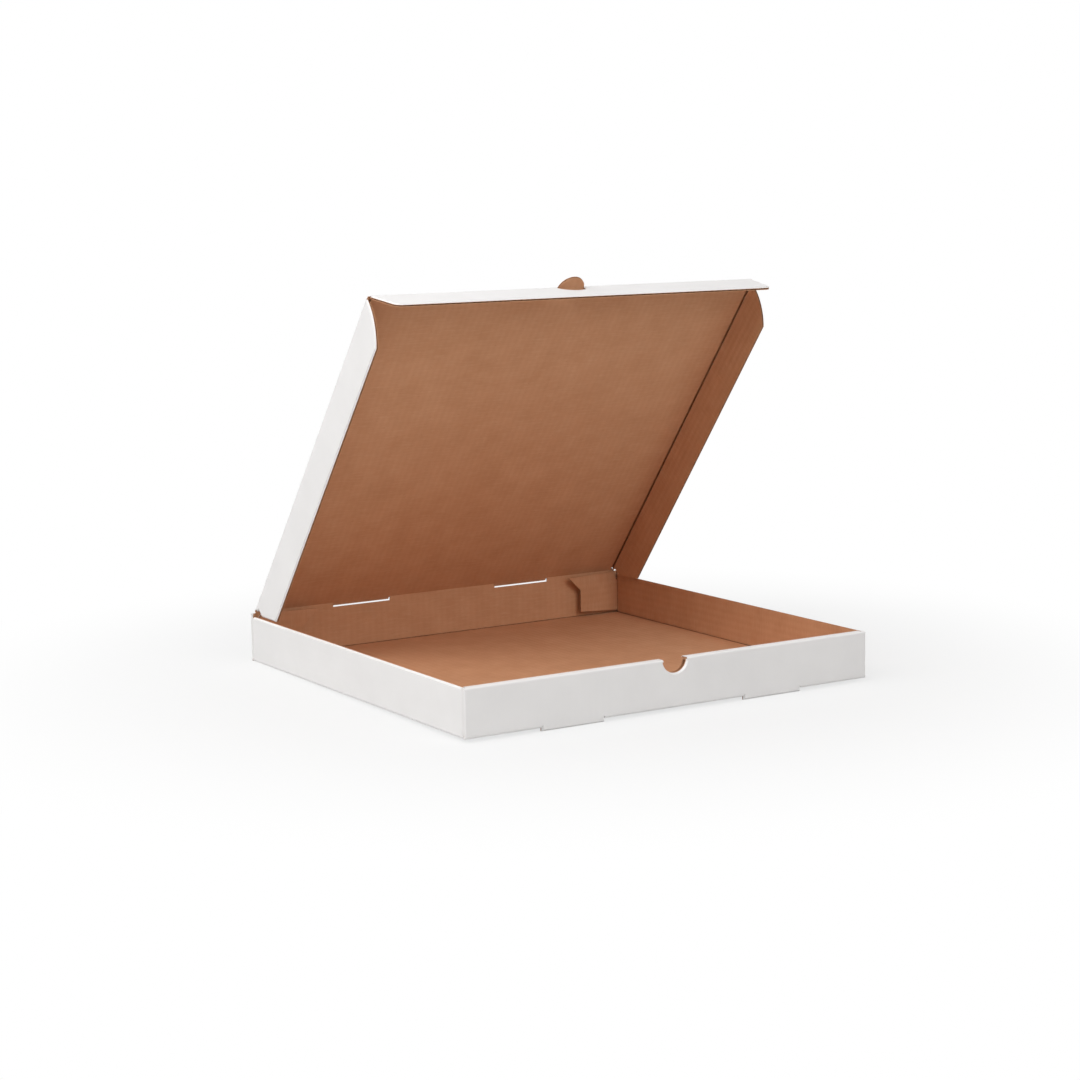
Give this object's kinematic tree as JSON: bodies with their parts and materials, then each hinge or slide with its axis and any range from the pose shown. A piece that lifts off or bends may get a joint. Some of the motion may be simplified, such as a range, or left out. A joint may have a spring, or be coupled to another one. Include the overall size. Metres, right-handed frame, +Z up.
{
  "type": "pizza box",
  "caption": "Shallow folded corrugated box for a round pizza, with a hinged lid standing half open, a tuck flap on the lid's front edge and a flap on each of its sides.",
  "frame": {"origin": "middle of the base's flat underside", "axes": "+Z up, -Y towards the front wall with the thumb notch, +X to the right as seen from the front"},
  "size_m": [0.402, 0.3918, 0.3534],
  "materials": {
    "board": "matte"
  },
  "bodies": {
    "tray": {"tray": "board"},
    "lid": {"lid": "board"},
    "front_flap": {"front_flap": "board"},
    "left_flap": {"left_flap": "board"},
    "right_flap": {"right_flap": "board"}
  },
  "joints": [
    {"name": "lid_hinge", "type": "hinge", "parent": "tray", "child": "lid", "pos_m": [0, 0.1936, 0.0457], "axis": [-1, 0, 0], "range_deg": [-48, 128.6]},
    {"name": "front_flap_crease", "type": "hinge", "parent": "lid", "child": "front_flap", "pos_m": [0, -0.04104, 0.33962], "axis": [1, 0, 0], "range_deg": [-60, 30]},
    {"name": "left_flap_crease", "type": "hinge", "parent": "lid", "child": "left_flap", "pos_m": [-0.19501, 0.1936, 0.0457], "axis": [0, -0.6239, 0.7815], "range_deg": [-88, 2]},
    {"name": "right_flap_crease", "type": "hinge", "parent": "lid", "child": "right_flap", "pos_m": [0.19501, 0.1936, 0.0457], "axis": [0, 0.6239, -0.7815], "range_deg": [-88, 2]}
  ]
}
